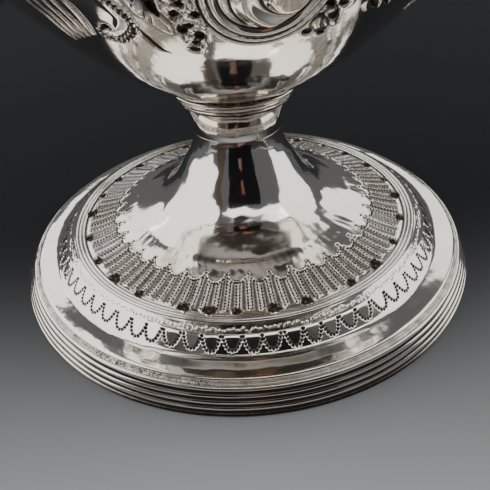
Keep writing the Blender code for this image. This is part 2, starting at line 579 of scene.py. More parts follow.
class Tone:
    """One value or colour in a node tree, with sums and products written as in arithmetic."""

    def __init__(self, tree: bpy.types.NodeTree, socket: bpy.types.NodeSocket) -> None:
        """Wrap a socket."""
        self.tree, self.socket = tree, socket

    def node(self, kind: str, settings: dict | None = None, output: int | str = 0,
             **inputs: object) -> Tone:
        """Add a node: its settings first, then its sockets by name with _ for spaces.

        Args:
            kind: Node type.
            settings: Properties set before the sockets.
            output: Output socket to hand back.
            **inputs: Values or tones for the input sockets; in0, in1 and so on go by number.

        Returns:
            The chosen output as a tone.
        """
        made = self.tree.nodes.new(kind)
        for key, value in (settings or {}).items():
            setattr(made, key, value)
        for key, value in inputs.items():
            plain = key[2:].isdigit()
            socket = made.inputs[int(key[2:]) if plain else key.replace("_", " ")]
            if isinstance(value, Tone):
                self.tree.links.new(value.socket, socket)
            else:
                socket.default_value = value
        return Tone(self.tree, made.outputs[output])

    def _math(self, operation: str, first: object, second: object) -> Tone:
        """Add a Math node."""
        return self.node("ShaderNodeMath", {"operation": operation}, in0=first, in1=second)

    def __add__(self, other: Tone | float) -> Tone:
        """Return the sum."""
        return self._math("ADD", self, other)

    def __mul__(self, other: Tone | float) -> Tone:
        """Return the product."""
        return self._math("MULTIPLY", self, other)

    def __pow__(self, other: Tone | float) -> Tone:
        """Return the power."""
        return self._math("POWER", self, other)

    def __rsub__(self, other: float) -> Tone:
        """Return a number less this tone."""
        return self._math("SUBTRACT", other, self)

    __radd__ = __add__

    def span(self, low: float, high: float) -> Tone:
        """Return the tone eased from 0 at low to 1 at high."""
        settings = {"interpolation_type": "SMOOTHSTEP"}
        return self.node("ShaderNodeMapRange", settings, Value=self, From_Min=low, From_Max=high)

    def mix(self, first: object, second: object) -> Tone:
        """Return a colour between two, by this tone."""
        settings = {"data_type": "RGBA"}
        return self.node("ShaderNodeMix", settings, output=2, in0=self, in6=first, in7=second)


def blank_material(name: str) -> tuple[bpy.types.Material, bpy.types.ShaderNode, Tone, Tone]:
    """Start a material.

    Args:
        name: Name of the material.

    Returns:
        The material, its shader, a tone to build others from, and the place in the object.
    """
    made = bpy.data.materials.new(name)
    made.use_nodes = True
    shader = made.node_tree.nodes["Principled BSDF"]
    root = Tone(made.node_tree, shader.outputs[0])
    return made, shader, root, root.node("ShaderNodeTexCoord", output="Object")


@dataclass(frozen=True)
class SilverFinish:
    """Sterling as it comes from use: bright, rubbed, brown where a cloth can't reach, and darkened
    where the grime_and_shade mask carries painted shade.
    """

    name: str
    bright: tuple[float, float, float]
    tarnish: tuple[float, float, float]
    roughness: float
    rubbing: float
    bruising: float
    cloud_scale: float = 90.0
    speck_scale: float = 1900.0
    bruise_scale: float = 230.0
    rub_scale: tuple = (260.0, 260.0, 2600.0)
    stain_rough: float = 0.42
    stain_dull: float = 0.45
    matt_rough: float = 0.22

    def material(self) -> bpy.types.Material:
        """Build the finish.

        Returns:
            A material that reads the piece's tarnish, painted shade and matting.
        """
        made, shader, root, place = blank_material(self.name)
        grime_and_shade = root.node("ShaderNodeAttribute", {"attribute_name": "grime_and_shade"}, output="Fac")
        matting = root.node("ShaderNodeAttribute", {"attribute_name": "matting"}, output="Fac")
        cloud = root.node("ShaderNodeTexNoise", Vector=place, Scale=self.cloud_scale,
                          Detail=5.0)
        speck = root.node("ShaderNodeTexNoise", Vector=place, Scale=self.speck_scale,
                          Detail=3.0)
        film = cloud.span(0.42, 0.78)
        # The mask darkens and dulls the silver: real tarnish, and on the foot wire also painted
        # shade.
        stain = (grime_and_shade * (0.78 + speck * 0.45)).span(0.08, 0.75)
        red, green, blue = self.bright
        clean = film.mix((*self.bright, 1), (red * 0.90, green * 0.90, blue * 0.84, 1))
        dirty = speck.mix((*self.tarnish, 1), (*[c * 2.0 for c in self.tarnish], 1))
        colour = stain.mix(clean, dirty)
        rough = self.roughness + film * 0.05 + stain * self.stain_rough
        rough = rough + matting * self.matt_rough
        metal = 1.0 - stain * self.stain_dull
        streak = root.node("ShaderNodeMapping", Vector=place, Scale=self.rub_scale)
        rub = root.node("ShaderNodeTexNoise", Vector=streak, Scale=1.0, Detail=2.0)
        bruise = root.node("ShaderNodeTexNoise", Vector=place, Scale=self.bruise_scale,
                           Detail=2.0)
        relief = rub * self.rubbing + bruise * self.bruising
        bump = root.node("ShaderNodeBump", Height=relief, Strength=1.0, Distance=0.001)
        for key, tone in (("Base Color", colour), ("Roughness", rough), ("Metallic", metal),
                          ("Normal", bump)):
            made.node_tree.links.new(tone.socket, shader.inputs[key])
        return made


STERLING = SilverFinish("sterling", (0.955, 0.905, 0.840), (0.034, 0.020, 0.011), 0.075, 0.004,
                        0.07)
# The wire's tarnish colour is near black: partly tarnish, partly painted shade, so that the bands
# between its reeds read dark.
WIRE = SilverFinish("reeded_wire", (0.97, 0.90, 0.81), (0.011, 0.006, 0.004), 0.10, 0.004, 0.03)
SEAM = SilverFinish("solder_seam", (0.86, 0.82, 0.76), (0.045, 0.028, 0.018), 0.24, 0.01, 0.45)


# ------------------------------------------------------------------ the foot

@dataclass(frozen=True)
class FootSizes:
    """Sizes of the raised foot in foot radii, and counts of its marks."""

    flange: tuple = ((0.9335, 0.0925), (0.9350, 0.1050), (0.9310, 0.1095), (0.900, 0.1140),
                     (0.862, 0.1165), (0.846, 0.1215), (0.838, 0.1300), (0.818, 0.1500),
                     (0.801, 0.1665), (0.793, 0.1715), (0.780, 0.1760), (0.757, 0.1870))
    field: tuple = ((0.757, 0.1870), (0.736, 0.1830), (0.715, 0.1800))
    stem: tuple = ((0.715, 0.1800), (0.650, 0.1890), (0.575, 0.2090), (0.500, 0.2330),
                   (0.460, 0.2450), (0.370, 0.2850), (0.3245, 0.3200), (0.286, 0.3600),
                   (0.2585, 0.4000), (0.234, 0.4400), (0.209, 0.4800), (0.192, 0.5200),
                   (0.1815, 0.5600), (0.178, 0.5860))
    wall: float = 0.75
    step_foot: float = 0.837
    step_top: float = 0.802
    fillets: tuple = (0.757, 0.715)
    fillet_count: int = 3
    fillet_rise: float = 0.24
    outer_lobes: int = 72
    lobe_beads: int = 11
    inner_lobes: int = 43
    inner_bottom: float = 0.578
    inner_cusp: float = 0.535
    field_edge: float = 0.690
    field_outer: float = 0.700
    dot_ring: float = 0.698
    wriggle_ring: float = 0.779
    wriggles: int = 300
    strips: int = 101
    seam: float = 0.757
    field_split: float = 0.630
    stem_split: float = 0.505


class Foot:
    """The raised foot: flange, step, plateau, matted field, dome and trumpet."""

    DOTS = (-168, -155, -143, -130, -117, -104, -91, -75, -60, -48, -36, -20, -12, -4, 7, 17,
            33, 45, 59, 74, 89, 101, 114, 127, 139, 152, 165, 178)
    DASH_GAP, DASH_PITCH = 0.26, 0.54
    DASH = Punch(0.135, 0.15, burr=0.60, stretch=1.25, turn=90)
    INNER_BEAD = Punch(0.16, 0.12, burr=0.2, dark=0.95, stretch=1.3)
    INNER_PUNCHES = 9
    OUTER_BEAD = Punch(0.21, 0.15, burr=0.04, spread=1.08)
    WRIGGLE = Punch(0.10, 0.05, burr=0.5, dark=0.22, stretch=2.4)
    HAMMERING = ((1.0, 9, 0.55, 0.0), (0.8, 17, -0.9, 1.0), (0.6, 5, 1.3, 2.0), (0.5, 29, 0.4, 0.0))
    FRINGE = ((1.0, 43, 0.0, 0.0), (0.6, 97, 1.0, 0.0))
    FLATNESS = ((1.0, 13, 1.0, 0.0), (1.0, 31, 2.0, 0.0))

    def __init__(self, sizes: FootSizes, material: bpy.types.Material) -> None:
        """Draw the outline and lay out the marks, in an order that fixes every random draw.

        Args:
            sizes: Sizes of the foot.
            material: Its finish.
        """
        self.sizes, self.material = sizes, material
        flats = radii(sizes.flange)
        middle = flowing(radii(sizes.field))[1:]
        dome = flowing(radii(sizes.stem))[1:]
        self.outline = Outline(np.vstack([flats, middle, dome]), soften=0.28)
        self.chance = np.random.default_rng(7)
        self.dashes = self._dashes()
        self.outer = self._outer_scallop()
        self.inner = self._inner_scallop()
        self.worm = self._wriggles()

    def _lobe_edge(self, bearing: Array) -> Array:
        """Find the inner scallop: bottom - depth |2p - 1|^2.6, p going from 0 to 1 over a lobe.

        Args:
            bearing: Bearings in degrees.

        Returns:
            Its radius there, in foot radii.
        """
        p = (bearing * self.sizes.inner_lobes / 360.0) % 1.0
        rise = np.abs(2 * p - 1) ** 2.6
        return self.sizes.inner_bottom - (self.sizes.inner_bottom - self.sizes.inner_cusp) * rise

    def _dashes(self) -> list[tuple[float, float, float]]:
        """Lay two chains of dashes down each radial strip.

        Returns:
            Bearing, distance and weight of each.
        """
        found = []
        pitch = 360.0 / self.sizes.strips
        top = self.outline.at_radius(self.sizes.field_edge)
        for k in range(self.sizes.strips):
            middle = k * pitch + self.chance.uniform(-0.35, 0.35)
            gap = self.DASH_GAP + self.chance.uniform(-0.02, 0.03)
            for side in (-1, 1):
                s = top + self.chance.uniform(0.0, 0.3)
                while True:
                    radius = float(np.interp(s, self.outline.s, self.outline.points[:, 0]))
                    bearing = middle + math.degrees(side * gap / radius)
                    if radius / FOOT_RADIUS < float(self._lobe_edge(np.array(bearing))) + 0.006:
                        break
                    found.append((bearing, s + side * 0.13, self.chance.uniform(0.7, 1.15)))
                    s += self.DASH_PITCH + self.chance.uniform(-0.03, 0.03)
        return found

    def _outer_scallop(self) -> list[tuple[float, float]]:
        """Lay the outer scallop: lobes open to the middle, evenly beaded.

        Returns:
            Bearing and distance of each bead.
        """
        found = []
        foot = self.outline.at_radius(self.sizes.step_foot)
        top = self.outline.at_radius(self.sizes.step_top)
        pitch = 360.0 / self.sizes.outer_lobes
        for k in range(self.sizes.outer_lobes):
            middle = k * pitch + self.chance.uniform(-0.35, 0.35)
            reach = self.chance.uniform(-0.12, 0.12)
            t = np.linspace(-1, 1, 81)
            across = np.sign(t) * np.abs(t) ** 0.85 * 0.45 * pitch
            up = foot + reach + np.abs(t) ** 2.3 * (top - foot - reach)
            width = np.radians(across) * self.sizes.step_foot * FOOT_RADIUS
            travelled = np.r_[0, np.cumsum(np.hypot(np.diff(width), np.diff(up)))]
            for at in np.linspace(0, travelled[-1], self.sizes.lobe_beads):
                found.append((middle + float(np.interp(at, travelled, across)),
                              float(np.interp(at, travelled, up))))
        return found

    def _inner_scallop(self) -> list[tuple[float, float, float]]:
        """Lay the inner scallop: lobes open to the middle.

        Returns:
            Bearing, distance and weight of each punch.
        """
        found = []
        pitch = 360.0 / self.sizes.inner_lobes
        for k in range(self.sizes.inner_lobes):
            middle = (k + 0.5) * pitch
            reach = self.chance.uniform(-0.006, 0.006)
            for t in np.linspace(-1, 1, self.INNER_PUNCHES):
                bearing = middle + t * 0.49 * pitch
                radius = float(self._lobe_edge(np.array(bearing))) + reach * (1 - abs(t))
                found.append((bearing, self.outline.at_radius(radius), 1.0 - 0.3 * abs(t)))
        return found

    def _wriggles(self) -> list[tuple[float, float, float]]:
        """Lay the worn wriggled marks round the plateau.

        Returns:
            Bearing, distance and turn of each.
        """
        count = self.sizes.wriggles
        s = self.outline.at_radius(self.sizes.wriggle_ring)
        turn = self.chance.uniform(-50, 50, count)
        shift = self.chance.uniform(-0.22, 0.22, count)
        return [(k * 360.0 / count + 0.3 * shift[k], s + shift[k], turn[k]) for k in range(count)]

    def chase(self, sheet: Sheet) -> Sheet:
        """Put every mark of the foot on a sheet that follows its outline.

        Args:
            sheet: An untouched sheet.

        Returns:
            The same sheet, worked.
        """
        sizes = self.sizes
        bearing, s, radius = sheet.grid()
        r = radius / FOOT_RADIUS
        high, low = sizes.fillets
        phase = np.clip((high - r) / (high - low), 0, 1) * sizes.fillet_count
        inside = (r < high) & (r > low)
        reeds = np.abs(np.sin(math.pi * phase)) ** 0.55
        lines = np.abs(np.cos(math.pi * phase)) ** 14 * inside
        sheet.height += np.where(inside, sizes.fillet_rise * reeds, 0.0)
        sheet.grime_and_shade += 0.75 * lines
        edge = bell(s - self.outline.at_radius(low) - 0.12, 0.14)
        sheet.grime_and_shade += 0.6 * edge
        sheet.height -= 0.05 * edge
        self._matted_ground(sheet)
        self._bruises(sheet)
        for b, at, weight in self.dashes:
            sheet.punch(b, at, self.DASH, weight)
        for k in range(0, len(self.inner), self.INNER_PUNCHES):
            lobe = np.array([(b, at + 0.16) for b, at, _ in self.inner[k:k + self.INNER_PUNCHES]])
            sheet.stroke(lobe, width=0.14, depth=-0.08, dark=0.0, burr=0.0, taper=0.2)
        for b, at, weight in self.inner:
            sheet.punch(b, at - 0.10, self.INNER_BEAD, weight)
        for b, at in self.outer:
            sheet.punch(b, at, self.OUTER_BEAD)
        for b, at, turn in self.worm:
            sheet.punch(b, at, replace(self.WRIGGLE, turn=turn))
        for k, b in enumerate(self.DOTS):
            self._dot(sheet, b, k)
        return sheet

    def _matted_ground(self, sheet: Sheet) -> None:
        """Leave low ridges between the strips of the field, and a dull ground in it.

        Args:
            sheet: The sheet to work.
        """
        bearing, s, radius = sheet.grid()
        degrees = np.degrees(bearing)
        r = radius / FOOT_RADIUS
        fade = 0.008
        inside = ease((r - self._lobe_edge(degrees)) / fade)
        inside = inside * ease((self.sizes.field_outer - r) / fade)
        ridge = np.cos(np.radians(degrees) * self.sizes.strips)
        sheet.height += inside * (0.03 + 0.045 * ridge)
        sheet.grime_and_shade = np.maximum(sheet.grime_and_shade, inside * (0.34 - 0.24 * ridge))
        sheet.matting += inside * (0.35 + 0.25 * ridge)

    def _bruises(self, sheet: Sheet) -> None:
        """Leave the hammer's slow waves in the dome, dish and flange.

        Args:
            sheet: The sheet to work.
        """
        bearing, s, radius = sheet.grid()
        r = radius / FOOT_RADIUS
        bare = ease((0.56 - r) / 0.05)
        sheet.height += bare * 0.016 * waves(bearing, s, self.HAMMERING) * (0.4 + r)
        sheet.height += 0.010 * (bell(r - 0.50, 0.03) * waves(bearing, s, self.FRINGE))
        flat = ease((r - 0.85) / 0.02) * ease((0.93 - r) / 0.01)
        sheet.height += flat * 0.006 * waves(bearing, s, self.FLATNESS)

    def _dot(self, sheet: Sheet, bearing: float, k: int) -> None:
        """Strike one large lobed dot: a dished pit with a broken, dirty floor.

        Args:
            sheet: The sheet to work.
            bearing: Bearing of the dot in degrees.
            k: Its number, which varies its shape.
        """
        s = self.outline.at_radius(self.sizes.dot_ring)
        size = 0.95 + 0.20 * math.sin(2.3 * k)
        found = sheet.window(bearing, s, 2.2, 2.0)
        if found is None:
            return
        where, x, y = found
        angle = np.arctan2(y, x)
        edge = size * (1 + 0.10 * np.sin(3 * angle + k) + 0.06 * np.sin(7 * angle + 2 * k))
        q = np.hypot(x, y * 1.25) / edge
        floor = 0.05 * np.sin(9 * x + k) * np.sin(8 * y + 2 * k)
        rise = -0.34 * np.exp(-q ** 4) + 0.12 * bell(q - 1.15, 0.14) + floor * (q < 0.9)
        stain = np.exp(-(q / 1.05) ** 8) * (0.78 + 0.22 * np.sin(5 * x + k) * np.sin(6 * y - k))
        sheet.mark(where, rise, np.maximum(stain, 0.75 * bell(q - 0.95, 0.10)), 0.6 * (q < 1))

    def _ring(self, name: str, start: float, end: float, pitch: float, bearings: Array) -> None:
        """Build one ring of the foot as a closed sheet.

        Args:
            name: Name of the piece.
            start: Distance along the outline where it starts, in millimetres.
            end: Distance where it ends.
            pitch: Distance between rows.
            bearings: Column bearings in radians.
        """
        piece = Turned(name, "foot", Slot.FOOT, bearings)
        rows = rows_at((start, end, pitch))
        piece.face(self.outline, self.chase(piece.sheet(self.outline, rows)))
        piece.plain(self.outline, rows_at((start, end, 0.8)), inset=self.sizes.wall, backwards=True)
        piece.build(self.material)

    def build(self) -> None:
        """Build the foot as rings that meet on hidden joints."""
        line, sizes = self.outline, self.sizes
        step = line.at_radius(sizes.step_foot) - 0.45
        seam = line.at_radius(sizes.seam)
        split = line.at_radius(sizes.field_split)
        stem = line.at_radius(sizes.stem_split)
        fine = columns_at(1000, 400)
        self._ring("foot_flange", 0.0, step, 0.125, columns_at(600, 500))
        self._ring("foot_step", step, seam, 0.078, fine)
        close = columns_at(850, 330)
        self._ring("foot_field_outer", seam, split, 0.074, close)
        self._ring("foot_field_inner", split, stem, 0.074, close)
        self._ring("foot_stem", stem, line.length, 0.19, columns_at(360, 240))


@dataclass(frozen=True)
class WireSizes:
    """A reeded wire's crests, the foot's outermost first, in foot radii."""

    crests: tuple = ((1.0002, 0.0110), (0.9915, 0.0295), (0.9815, 0.0485), (0.9710, 0.0675),
                     (0.9600, 0.0850))
    inner: float = 0.915
    top: float = 0.0925
    shoulder: float = 0.949
    seam: tuple = (0.9400, 0.0930)
    groove: float = 0.36


class FootWire:
    """The reeded wire under the foot's edge, with its joint and the seam of solder above it."""

    WEAR = ((0.12, 7, 0.0, 1.0), (0.10, 19, 0.0, 0.0))

    def __init__(self, sizes: WireSizes, wire: bpy.types.Material,
                 seam: bpy.types.Material) -> None:
        """Keep the sizes and finishes."""
        self.sizes, self.wire, self.seam = sizes, wire, seam

    def _profile(self) -> Array:
        """Draw the reeds: arcs that bulge through the crests and meet in grooves.

        Returns:
            Radii and heights in millimetres, from the foot up.
        """
        crests = radii(self.sizes.crests)
        heights = np.r_[0.0, (crests[1:, 1] + crests[:-1, 1]) / 2, self.sizes.top * FOOT_RADIUS]
        reach = np.interp(heights, crests[:, 1], crests[:, 0])
        reach[-1] = self.sizes.shoulder * FOOT_RADIUS
        depth = np.r_[0.5, np.ones(len(crests) - 1), 0.0] * self.sizes.groove
        grooves = np.stack([reach - depth, heights], 1)
        parts = []
        t = np.linspace(0, math.pi, 13)[:-1]
        for a, b, crest in zip(grooves, grooves[1:], crests):
            base = a + (b - a) * ((1 - np.cos(t)) / 2)[:, None]
            bulge = crest - (a + b) / 2
            parts.append(base + bulge * (np.sin(t) ** 0.75)[:, None])
        return np.vstack([*parts, grooves[-1:]])

    def build(self) -> None:
        """Build the wire and the rough seam that holds it."""
        face = self._profile()
        inner = self.sizes.inner * FOOT_RADIUS
        outline = Outline(np.vstack([[(inner, 0.0)], face, [(inner, face[-1, 1])]]))
        start = face[0, 0] - inner
        reeded = rows_at((0.0, start, 0.8), (start, outline.length - (face[-1, 0] - inner), 0.10))
        rows = np.r_[reeded, outline.length]
        piece = Turned("foot_wire_reeds", "foot_wire", Slot.WIRE, columns_at(600, 300))
        sheet = piece.sheet(outline, rows)
        bearing, s, radius = sheet.grid()
        point = outline.at(rows)[0]
        crests = radii(self.sizes.crests)
        crest = np.interp(point[:, 1], crests[:, 1], crests[:, 0])
        depth = np.clip((crest - point[:, 0]) / self.sizes.groove, 0, 1)[:, None]
        wear = waves(bearing, s, self.WEAR)
        outside = (point[:, 0] > inner + 0.5)[:, None] * ease(point[:, 1:] / 0.3)
        upper = ease((point[:, 1:] - 3.35) / 0.2)
        # Painted shade: the tarnish is made heavier and wider on the side facing the camera,
        # standing in for the dark that the front reeds reflect.
        front = ease((np.cos(bearing - 0.06) - 0.56) / 0.40)
        crown = 1 - bell(depth, 0.15 + 0.40 * (1 - front))
        # Painted shadow: the lowest reed on the front side is darkened almost to black.
        foot = 0.8 * front * ease((0.8 - point[:, 1:]) / 0.4)
        # The mask is real tarnish in the grooves plus the painted shade and painted shadow above.
        stain = (0.46 + 0.80 * front) * crown + wear * crown + foot
        sheet.grime_and_shade += outside * np.clip(stain, 0, 1) * (1 - 0.75 * upper)
        joint = bell(np.degrees(bearing) + 83, 1.1) + bell(np.degrees(bearing) + 80, 0.7)
        sheet.height += outside * joint * 0.16 * np.sin(4.5 * s + 1.0)
        sheet.height += outside * 0.012 * np.sin(41 * bearing + 2 * s) * np.sin(13 * bearing)
        piece.face(outline, sheet).build(self.wire)
        self._solder()

    def _solder(self) -> None:
        """Build the seam: a lumpy cord of solder in the corner over the wire."""
        middle = np.array(self.sizes.seam) * FOOT_RADIUS
        outline, rows = cord_outline(middle, half_width=0.34, half_height=0.19, count=24)
        piece = Turned("foot_solder_seam", "foot_solder", Slot.SOLDER, columns_at(900, 500))
        sheet = piece.sheet(outline, rows)
        bearing, s, _ = sheet.grid()
        lumps = (np.sin(61 * bearing + 0.9 * s) * np.sin(17 * bearing + 2.1)
                 + 0.6 * np.sin(139 * bearing + 1.5 * s) * np.sin(43 * bearing + 0.4))
        degrees = np.degrees(bearing)
        rough = 0.15 + bell(degrees + 24, 15) + 0.5 * bell(degrees - 150, 30)
        grain = np.random.default_rng(5).normal(size=sheet.height.shape)
        grain = (grain + np.roll(grain, 1, 0) + np.roll(grain, 1, 1)) / 1.7
        pits = ease((grain - 0.5) / 0.9)
        sheet.height += 0.012 * lumps - 0.05 * rough * pits
        sheet.grime_and_shade += np.clip(0.26 - 0.08 * lumps + 0.8 * rough * pits, 0, 1)
        piece.face(outline, sheet).build(self.seam)


# ------------------------------------------------------------------ the collar

class Collar:
    """The lapped band between foot and bowl, its fine reeded ring and the seams of solder."""

    BAND = ((0.1800, 0.5770), (0.1835, 0.5800), (0.1838, 0.600), (0.1858, 0.622), (0.1900, 0.645),
            (0.1970, 0.667), (0.2065, 0.687), (0.2180, 0.704))
    RING = ((0.2190, 0.706), (0.2280, 0.712), (0.2340, 0.722), (0.2420, 0.734), (0.2490, 0.744),
            (0.2500, 0.752), (0.2440, 0.758))
    LAP = 24.0

    def __init__(self, silver: bpy.types.Material, wire: bpy.types.Material,
                 seam: bpy.types.Material) -> None:
        """Keep the finishes."""
        self.silver, self.wire, self.seam = silver, wire, seam

    def _band(self) -> None:
        """Build the band: one end lapped over the other, its lower edge stepped at the lap."""
        outline = Outline(flowing(radii(self.BAND)))
        piece = Turned("collar_band", "collar", Slot.COLLAR, columns_at(360, 160))
        rows = rows_at((0.0, 1.2, 0.06), (1.2, outline.length, 0.14))
        sheet = piece.sheet(outline, rows)
        bearing, s, _ = sheet.grid()
        degrees = np.degrees(bearing)
        beyond = np.clip((degrees - self.LAP) / 1.0, 0, 1) * ease(1 - (degrees - self.LAP) / 60)
        sheet.height += 0.12 * beyond + 0.010 * np.sin(11 * bearing + s)
        sheet.grime_and_shade += 0.8 * bell(degrees - self.LAP, 0.5) * (s < 0.8)
        sheet.grime_and_shade += 0.5 * bell(s, 0.2)
        piece.face(outline, sheet)
        piece.plain(outline, rows_at((0.0, outline.length, 0.8)), inset=0.55, backwards=True)
        piece.build(self.silver)

    def _ring(self) -> None:
        """Build the ring: three fine reeds under the bowl."""
        outline = Outline(flowing(radii(self.RING)))
        piece = Turned("collar_reeds", "collar_ring", Slot.WIRE, columns_at(320, 160))
        rows = rows_at((0.0, outline.length, 0.045))
        sheet = piece.sheet(outline, rows)
        _, s, _ = sheet.grid()
        phase = math.pi * 3 * s / outline.length
        sheet.height += 0.05 * np.abs(np.sin(phase)) ** 0.6 - 0.04
        sheet.grime_and_shade += 0.85 * np.abs(np.cos(phase)) ** 8
        piece.face(outline, sheet)
        piece.plain(outline, rows_at((0.0, outline.length, 0.4)), inset=0.6, backwards=True)
        piece.build(self.wire)

    def _cord(self, name: str, node: str, radius: float, height: float, size: float) -> None:
        """Build a seam of solder: a thin lumpy ring.

        Args:
            name: Name of the piece.
            node: The plain solid it stands for.
            radius: Radius of its middle in foot radii.
            height: Height of its middle in foot radii.
            size: Half its thickness in millimetres.
        """
        middle = np.array([radius, height]) * FOOT_RADIUS
        outline, rows = cord_outline(middle, size, size, count=16)
        piece = Turned(name, node, Slot.SOLDER, columns_at(300, 200))
        sheet = piece.sheet(outline, rows)
        bearing, s, _ = sheet.grid()
        lumps = np.sin(47 * bearing + 3 * s) * np.sin(19 * bearing + 1)
        sheet.height += 0.06 * size * lumps
        sheet.grime_and_shade += np.clip(0.62 - 0.12 * lumps, 0, 1)
        piece.face(outline, sheet).build(self.seam)

    def build(self) -> None:
        """Build band, ring and both seams."""
        self._band()
        self._ring()
        self._cord("collar_solder_seam", "collar_solder", 0.2195, 0.7045, 0.14)
        self._cord("bowl_solder_seam", "bowl_solder", 0.2440, 0.7570, 0.18)


# ------------------------------------------------------------------ the bowl

@dataclass(frozen=True)
class BowlSizes:
    """The bowl's outline in foot radii, and its wall and closing eye in millimetres."""

    curve: tuple = ((0.0, 0.690), (0.125, 0.708), (0.250, 0.762), (0.382, 0.840), (0.466, 0.900),
                    (0.535, 0.960), (0.598, 1.020), (0.658, 1.080), (0.716, 1.140),
                    (0.860, 1.290), (0.960, 1.405), (1.060, 1.540), (1.150, 1.695),
                    (1.215, 1.860), (1.262, 2.060), (1.291, 2.235))
    wall: float = 0.9
    chased_from: float = 1.020
    chased_split: float = 1.270
    chased_to: float = 1.830
    eye: float = 0.4


class Bowl:
    """The raised bowl: mirror-bright below, chased with scrolls, leaves and a cartouche."""

    SPRAYS = 11
    FLUTES = 5
    SHOW_THROUGH = 0.35
    CARTOUCHES = (6.4, 186.4)
    LEFT_TURNS, RIGHT_TURNS = (0.0, 180.0, 90.0, -60.0), (0.0, 180.0, 60.0, -120.0)
    HOOK_BEAD, HOOK_EYE = Punch(0.27, 0.30, burr=0.5), Punch(0.42, 0.30)
    STEM_BEAD = Punch(0.26, 0.20, burr=0.5)
    POUNCE = Punch(0.15, 0.07, burr=0.8, dark=0.55)
    LEFT_PIT = Punch(0.45, 0.26, burr=0.10, stretch=1.3)
    RIGHT_PIT = Punch(0.45, 0.24, burr=0.10, stretch=1.4, turn=-35)
    PIT_LEAN = 70
    LEFT_PITS = ((-9.6, 1.180, 0.46), (-9.3, 1.134, 0.58), (-8.3, 1.070, 0.50), (-6.2, 1.116, 0.52),
                 (-7.7, 1.146, 0.36), (-5.9, 1.175, 0.40), (-7.4, 1.095, 0.38), (-8.2, 1.205, 0.40))
    RIGHT_PITS = ((16.6, 1.094, 0.46), (19.4, 1.100, 0.42), (20.6, 1.084, 0.36),
                  (20.6, 1.140, 0.60), (18.6, 1.170, 0.44), (21.6, 1.166, 0.46))
    WAVES = ((1.0, 7, 0.30, 0.0), (0.8, 13, -0.5, 1.0), (0.5, 23, 0.8, 0.0))

    def __init__(self, sizes: BowlSizes, material: bpy.types.Material) -> None:
        """Keep the sizes and draw the outline."""
        self.sizes, self.material = sizes, material
        self.outline = Outline(flowing(radii(sizes.curve)), soften=0.5)

    def _s(self, height: float) -> float:
        """Distance along the outline of a height in foot radii."""
        return self.outline.at_height(height)

    def _line(self, *points: tuple[float, float], steps: int = 8) -> Array:
        """Draw a flowing line through (bearing in degrees, height in foot radii) points."""
        known = [(bearing, self._s(height)) for bearing, height in points]
        return flowing(known, steps)

    def _spiral(self, bearing: float, height: float, size: float, turns: float,
                start: float) -> Array:
        """Draw a spiral from its eye outwards.

        Args:
            bearing: Bearing of the eye in degrees.
            height: Height of the eye in foot radii.
            size: Radius of the last turn in millimetres.
            turns: Number of turns.
            start: Direction in which it starts, in degrees.

        Returns:
            (n, 2) bearings in degrees and distances in millimetres.
        """
        s = self._s(height)
        radius = float(np.interp(s, self.outline.s, self.outline.points[:, 0]))
        t = np.linspace(0.12, 1, int(22 * turns))
        angle = math.radians(start) + FULL_TURN * turns * t
        return np.stack([bearing + np.degrees(size * t * np.cos(angle) / radius),
                         s + size * t * np.sin(angle)], -1)

    def _cartouche(self, sheet: Sheet, bearing: float) -> None:
        """Raise an upright oval with a doubled border round swirling folds.

        Args:
            sheet: The sheet to work.
            bearing: Bearing of its middle in degrees.
        """
        s = self._s(1.079) + 8.9
        found = sheet.window(bearing, s, 8.0, 10.8)
        if found is None:
            return
        where, x, y = found
        q = np.hypot(x / 5.3, y / 7.4)
        angle = np.arctan2(y / 7.4, x / 5.3)
        border = 0.26 * bell(q - 0.98, 0.055) + 0.20 * bell(q - 1.13, 0.045)
        outer, inner = bell(q - 1.21, 0.03), bell(q - 0.89, 0.025)
        lines = np.maximum(bell(q - 1.055, 0.022), np.maximum(inner, outer))
        inside = ease((0.88 - q) / 0.05)
        swing = np.hypot(x - 2.6, 0.75 * (y + 1.5))
        folds = np.sin(FULL_TURN * swing / 2.3 + 1.8 * angle + 0.8 * np.sin(0.5 * y))
        plain = ease((np.hypot((x - 2.4) / 1.9, (y + 2.6) / 2.2) - 0.8) / 0.4)
        cleft = ease((-folds - 0.86) / 0.14) * inside * plain
        rise = border - 0.16 * lines + inside * plain * 0.26 * folds + 0.1 * ease(1 - q)
        notch = 0.5 + 0.5 * np.sin(46 * angle)
        stain = np.maximum(0.85 * lines, 0.80 * cleft)
        sheet.mark(where, rise - 0.03 * notch * bell(q - 1.13, 0.05), stain)

    def _pounce(self, sheet: Sheet, bearing: float, height: float, wide: float, tall: float,
                count: int) -> None:
        """Matt an oval patch with small scattered punches.

        Args:
            sheet: The sheet to work.
            bearing: Bearing of the patch in degrees.
            height: Height of the patch in foot radii.
            wide: Half its width in millimetres.
            tall: Half its height in millimetres.
            count: Number of punches, which also seeds their places.
        """
        chance = np.random.default_rng(count)
        s = self._s(height)
        radius = float(np.interp(s, self.outline.s, self.outline.points[:, 0]))
        reach = np.sqrt(chance.uniform(0, 1, count))
        angle = chance.uniform(0, FULL_TURN, count)
        for x, y, size in zip(wide * reach * np.cos(angle), tall * reach * np.sin(angle),
                              chance.uniform(0.10, 0.19, count)):
            tool = replace(self.POUNCE, radius=size)
            sheet.punch(bearing + math.degrees(x / radius), s + y, tool)

    def _pits(self, sheet: Sheet, turn: float, places: tuple, tool: Punch) -> None:
        """Strike pits of many sizes.

        Args:
            sheet: The sheet to work.
            turn: Shift round the bowl in degrees.
            places: Bearing, height in foot radii and radius in millimetres of each pit.
            tool: The punch; with no turn of its own, it turns with the bearing.
        """
        for bearing, height, radius in places:
            lean = tool.turn or self.PIT_LEAN * bearing
            struck = replace(tool, radius=radius, turn=lean)
            sheet.punch(turn + bearing, self._s(height), struck)

